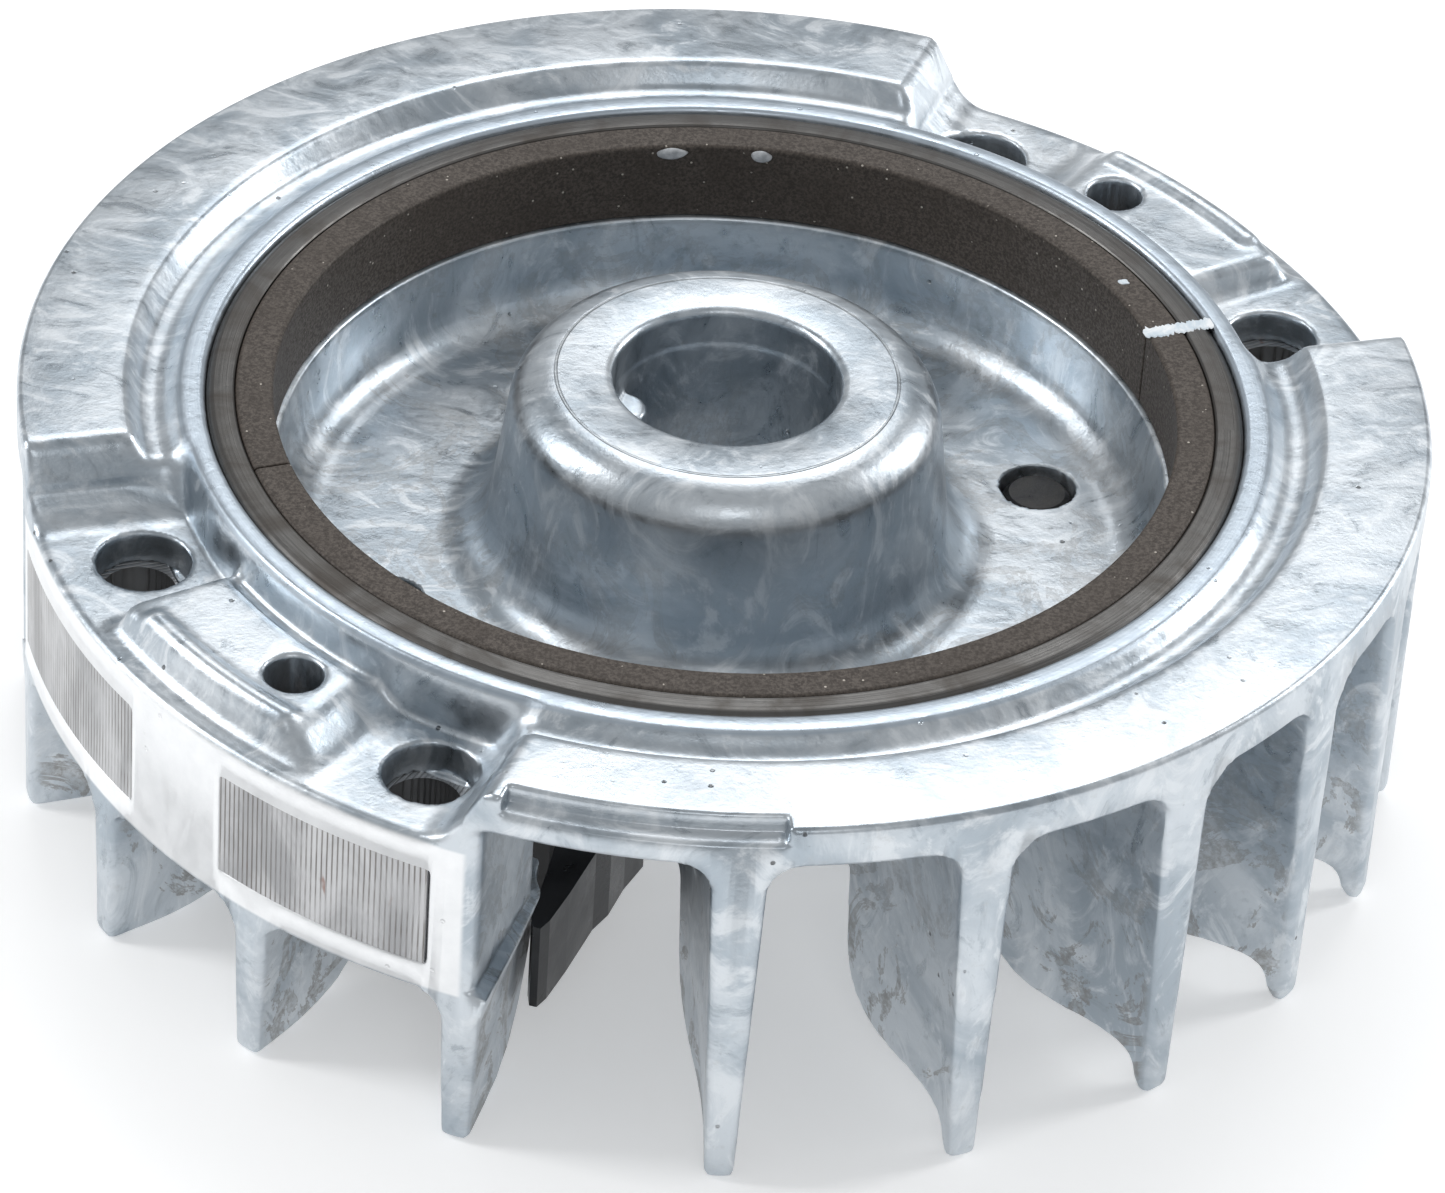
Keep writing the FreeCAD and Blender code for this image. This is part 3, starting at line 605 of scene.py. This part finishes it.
def laminations():
    m = Nodes("pole_laminations")
    radius, turn, height = m.cylinder()
    arc = m.sum("MULTIPLY", turn, math.radians(1.0) * RIM)
    wobble = m.noise(90.0, 4.0, 0.6)
    sheets = m.sum("FRACT", m.sum("ADD", m.sum("DIVIDE", arc, 0.42), m.sum("MULTIPLY", wobble, 0.35)))
    line = m.band(sheets, 0.12, 0.88, 0.10)
    smear = m.noise(260.0, 5.0, 0.6, 0.6, stretch=(1.0, 1.0, 0.35))
    colour = m.mix(m.ramp(smear, (0.35, 0.0), (0.7, 1.0)), (0.36, 0.365, 0.375), (0.60, 0.605, 0.615))
    patchy = m.ramp(m.noise(210.0, 3.0), (0.35, 0.2), (0.6, 1.0))
    seam = m.product(m.sum("SUBTRACT", 1.0, line), patchy)
    colour = m.mix(m.sum("MULTIPLY", seam, 0.85), colour, (0.14, 0.125, 0.11))
    rust = m.ramp(m.noise(330.0, 4.0, 0.7, stretch=(1.0, 1.0, 0.3)), (0.66, 0.0), (0.73, 1.0))
    rust = m.sum("MULTIPLY", rust, m.ramp(m.noise(60.0, 1.0), (0.48, 0.0), (0.6, 1.0)))
    colour = m.mix(m.sum("MULTIPLY", rust, 0.8), colour, (0.22, 0.075, 0.035))
    inner = m.ramp(radius, (RIM - 1.2, 1.0), (RIM - 0.4, 0.0))
    colour = m.mix(m.sum("MULTIPLY", inner, 0.35), colour, (0.30, 0.29, 0.28))
    normal = m.bump(line, 0.05)
    return m.finish(colour, m.ramp(smear, (0.3, 0.34), (0.7, 0.5)), normal, 0.9)


def worn(name):
    """Plain worn finish in two tones, from the table of finishes below."""
    dark, light, scale, metal, low_rough, high_rough, depth = FINISHES[name]
    m = Nodes(name)
    cloud = m.noise(scale, 5.0, 0.62, 0.8)
    fine = m.noise(scale * 7.0, 4.0, 0.65)
    colour = m.mix(m.ramp(cloud, (0.35, 0.0), (0.68, 1.0)), dark, light)
    colour = m.mix(m.ramp(fine, (0.58, 0.0), (0.75, 0.5)), colour, light)
    normal = m.bump(fine, depth)
    return m.finish(colour, m.ramp(cloud, (0.3, low_rough), (0.7, high_rough)), normal, metal)


# Dark and light tone, noise scale, metallic share, low and high roughness, bump depth in millimetres
FINISHES = {
    "block_magnet": ((0.035, 0.024, 0.018), (0.13, 0.085, 0.06), 260.0, 0.1, 0.5, 0.75, 0.03),
    "pawl_black": ((0.008, 0.008, 0.009), (0.022, 0.022, 0.024), 150.0, 0.0, 0.24, 0.42, 0.02),
    "black_oxide_steel": ((0.010, 0.010, 0.012), (0.050, 0.048, 0.046), 420.0, 0.6, 0.25, 0.5, 0.05),
    "zinc_steel": ((0.42, 0.42, 0.40), (0.70, 0.69, 0.64), 300.0, 0.95, 0.25, 0.42, 0.03),
    "spring_steel": ((0.18, 0.18, 0.18), (0.42, 0.42, 0.41), 500.0, 0.95, 0.22, 0.4, 0.03),
    "timing_paint": ((0.62, 0.72, 0.80), (0.92, 0.95, 0.97), 700.0, 0.0, 0.28, 0.5, 0.03),
    "glue_drops": ((0.38, 0.40, 0.42), (0.62, 0.64, 0.66), 600.0, 0.0, 0.2, 0.4, 0.03),
}


# ---------------------------------------------------------------- pieces


def place(radius, deg, z):
    turn = math.radians(deg)
    return Vector((radius * math.cos(turn), radius * math.sin(turn), z)) * MM


def give(obj, material, body="flywheel"):
    obj.data.materials.clear()
    obj.data.materials.append(material)
    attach(obj, body)
    return obj


def lathe(name, section, start_deg, end_deg, steps):
    """Solid swept round the axis; section corners in millimetres, in order."""
    whole = end_deg - start_deg >= 359.999
    turns = np.radians(np.linspace(start_deg, end_deg, steps + (0 if whole else 1), endpoint=not whole))
    section = np.array(section)
    count = len(section)
    r, z = section[:, 0][None], section[:, 1][None]
    points = np.stack([r * np.cos(turns)[:, None], r * np.sin(turns)[:, None], z + 0 * turns[:, None]], 2)
    mesh = bmesh.new()
    rows = [[mesh.verts.new(Vector(p) * MM) for p in row] for row in points.tolist()]
    for index in range(len(rows) if whole else len(rows) - 1):
        row, following = rows[index], rows[(index + 1) % len(rows)]
        for k in range(count):
            mesh.faces.new((row[k], following[k], following[(k + 1) % count], row[(k + 1) % count]))
    if not whole:
        mesh.faces.new(rows[0])
        mesh.faces.new(rows[-1][::-1])
    bmesh.ops.recalc_face_normals(mesh, faces=mesh.faces[:])
    data = bpy.data.meshes.new(name)
    mesh.to_mesh(data)
    mesh.free()
    data.shade_smooth()
    return linked(name, data)


def bevelled(obj, width, segments=3, limit_deg=30.0):
    bevel = obj.modifiers.new("edges", "BEVEL")
    bevel.width = width * MM
    bevel.segments = segments
    bevel.limit_method = "ANGLE"
    bevel.angle_limit = math.radians(limit_deg)
    bevel.harden_normals = True
    return obj


def drop(name, at, size, flat, seed):
    """Uneven flattened drop of glue or paint."""
    rng = np.random.default_rng(seed)
    mesh = bmesh.new()
    bmesh.ops.create_icosphere(mesh, subdivisions=3, radius=1.0)
    waves = [(rng.normal(size=3), rng.uniform(0, 6.28)) for _ in range(5)]
    for v in mesh.verts:
        swell = 1.0 + 0.10 * sum(math.sin(3.0 * v.co.dot(Vector(w)) + p) for w, p in waves) / 2.0
        v.co = Vector((v.co.x * size[0] * swell, v.co.y * size[1] * swell, v.co.z * flat)) * MM
    data = bpy.data.meshes.new(name)
    mesh.to_mesh(data)
    mesh.free()
    data.shade_smooth()
    obj = linked(name, data)
    obj.location = at
    return obj


def brush_mark(name, at, half_long, half_wide, seed):
    """Thin brushed stroke of paint with uneven edges, lying on the ring."""
    rng = np.random.default_rng(seed)
    mesh = bmesh.new()
    rows = []
    steps = 48
    for index in range(steps + 1):
        along = (2.0 * index / steps - 1.0) * half_long
        taper = min(1.0, (1.0 - abs(2.0 * index / steps - 1.0)) * 9.0 + 0.45)
        left, right = (half_wide * taper * (1.0 + 0.16 * rng.normal()) for _ in range(2))
        sides = ((-left, 0.0), (-left * 0.8, 0.06), (right * 0.8, 0.06), (right, 0.0))
        rows.append([mesh.verts.new(Vector((along, side, z)) * MM) for side, z in sides])
    for row, following in zip(rows, rows[1:]):
        for k in range(4):
            mesh.faces.new((row[k], following[k], following[(k + 1) % 4], row[(k + 1) % 4]))
    mesh.faces.new(rows[0])
    mesh.faces.new(rows[-1][::-1])
    bmesh.ops.recalc_face_normals(mesh, faces=mesh.faces[:])
    data = bpy.data.meshes.new(name)
    mesh.to_mesh(data)
    mesh.free()
    obj = linked(name, data)
    obj.location = at
    return obj


def build_casting():
    step = 0.3
    obj = surface_of(casting_field(step), "casting")
    thin = obj.modifiers.new("thin", "DECIMATE")
    thin.ratio = 0.27
    give(obj, cast_aluminium())
    blades = ["fan_blade_%02d" % (number + 1) for number in range(2 * len(BLADE_DEGS))]
    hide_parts("casting_body", *blades)
    return obj


def build_ring():
    outer, inner = RING_OUTER, RING_OUTER - 2.05
    top = MAGNET_TOP_Z
    section = [(inner, SEAT_Z), (outer, SEAT_Z), (outer, top - 0.5), (outer - 0.12, top - 0.3),
               (outer - 0.5, top - 0.03), (outer - 0.62, top), (inner + 0.15, top), (inner, top - 0.15)]
    ring = lathe("flux_ring_visual", section, 0, 360, 360)
    bevelled(ring, 0.06, 2)
    give(ring, ring_steel())
    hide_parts("flux_ring")
    outer = inner - 0.03
    inner = outer - 2.7
    material = ferrite()
    for letter, turn in (("a", 21.0), ("b", 201.0)):
        section = [(inner, SEAT_Z), (outer, SEAT_Z), (outer, top - 0.2), (outer - 0.2, top),
                   (inner + 0.18, top), (inner, top - 0.18)]
        half = lathe("ring_magnet_%s_visual" % letter, section, turn + 0.11, turn + 179.89, 200)
        bevelled(half, 0.12, 3)
        give(half, material)
        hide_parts("ring_magnet_" + letter)


def finish_node(name, material):
    """Give a carried-over CAD node its material."""
    data = frame["nodes"][name].data
    data.materials.clear()
    data.materials.append(material)


def build_poles():
    material = laminations()
    for name in ("ignition_pole_leading", "ignition_pole_trailing", "balance_pole_leading",
                 "balance_pole_trailing"):
        finish_node(name, material)
    magnet = worn("block_magnet")
    for name in ("ignition_magnet", "balance_magnet"):
        finish_node(name, magnet)


def build_pawl():
    finishes = (("starter_pawl", "pawl_black"), ("pawl_washer", "zinc_steel"),
                ("pawl_screw", "black_oxide_steel"), ("pawl_spring", "spring_steel"))
    for name, finish in finishes:
        material = worn(finish)
        for letter in "ab":
            finish_node(name + "_" + letter, material)


def build_marks():
    white = worn("timing_paint")
    stroke = brush_mark("timing_mark", place(34.7, 20.8, MAGNET_TOP_Z), 3.0, 0.62, 3)
    stroke.rotation_euler = (0, 0, math.radians(23))
    dot = drop("timing_dot", place(33.3, 32.0, MAGNET_TOP_Z), (0.42, 0.34), 0.10, 5)
    for obj in (stroke, dot):
        give(obj, white)
    grey = worn("glue_drops")
    for number, (deg, wide) in enumerate(((99.5, 1.1), (87.5, 0.8))):
        bead = drop("glue_drop_%d" % (number + 1), place(32.0, deg, -0.8), (wide, 0.3), 0.5, 11 + number)
        bead.rotation_euler = (0, 0, math.radians(deg + 90))
        give(bead, grey)


# ---------------------------------------------------------------- camera, light and floor


def turn_about(axis, angle):
    return Matrix.Rotation(angle, 3, axis)


def build_camera():
    distance, elevation = 0.5308, math.radians(35.284)
    spot = Vector((0.0, -distance * math.cos(elevation), distance * math.sin(elevation)))
    ahead = -spot.normalized()
    right = Vector((1.0, 0.0, 0.0))
    up = right.cross(ahead)
    tilt = turn_about(up, math.radians(-0.0742)) @ turn_about(right, math.radians(-1.5387))
    ahead, right, up = tilt @ ahead, tilt @ right, tilt @ up
    roll = turn_about(ahead, math.radians(-3.8366))
    right, up = roll @ right, roll @ up
    data = bpy.data.cameras.new("camera")
    data.sensor_width = 36.0
    data.lens = 186.83
    data.clip_start, data.clip_end = 0.01, 20.0
    camera = bpy.data.objects.new("camera", data)
    camera.matrix_world = Matrix((right, up, -ahead)).transposed().to_4x4()
    camera.location = spot
    bpy.context.scene.collection.objects.link(camera)
    bpy.context.scene.camera = camera


def light(name, spot, wide, long, power):
    """Soft rectangular lamp, turned towards the origin."""
    data = bpy.data.lights.new(name, "AREA")
    data.shape = "RECTANGLE"
    data.size = wide
    data.size_y = long
    data.energy = power
    obj = bpy.data.objects.new(name, data)
    obj.location = spot
    obj.rotation_mode = "QUATERNION"
    obj.rotation_quaternion = (-Vector(spot)).to_track_quat("-Z", "Y")
    bpy.context.scene.collection.objects.link(obj)


def build_studio():
    """Four soft lamps, a pale surround and a pale floor under the blades."""
    light("left_light", (-0.85, 0.05, 0.50), 0.25, 0.6, 3.6)
    light("right_light", (0.85, 0.35, 0.36), 0.22, 0.6, 3.6)
    light("top_light", (0.05, 0.60, 0.80), 0.6, 0.4, 2.6)
    light("front_light", (0.10, -0.95, 0.75), 0.4, 0.3, 0.9)
    world = bpy.data.worlds.new("studio")
    world.use_nodes = True
    background = world.node_tree.nodes["Background"]
    background.inputs[0].default_value = (0.97, 0.985, 1.0, 1.0)
    background.inputs[1].default_value = 0.46
    bpy.context.scene.world = world
    bpy.context.scene.view_settings.view_transform = "Standard"
    mesh = bmesh.new()
    bmesh.ops.create_grid(mesh, x_segments=24, y_segments=24, size=2.5)
    data = bpy.data.meshes.new("floor")
    mesh.to_mesh(data)
    mesh.free()
    floor = bpy.data.objects.new("floor", data)
    floor.location.z = CAD_BOX[0].z - 0.0001
    bpy.context.scene.collection.objects.link(floor)
    m = Nodes("floor")
    white = m.mix(m.noise(4.0), (0.95, 0.95, 0.95), (0.97, 0.97, 0.97))
    m.feed(m.shader.inputs["Emission Color"], white)
    floor.data.materials.append(m.finish(white, 0.7, metal=0.0, Emission_Strength=0.34))


build_camera()
build_studio()
build_casting()
build_ring()
build_poles()
build_pawl()
build_marks()

bpy.context.view_layer.update()
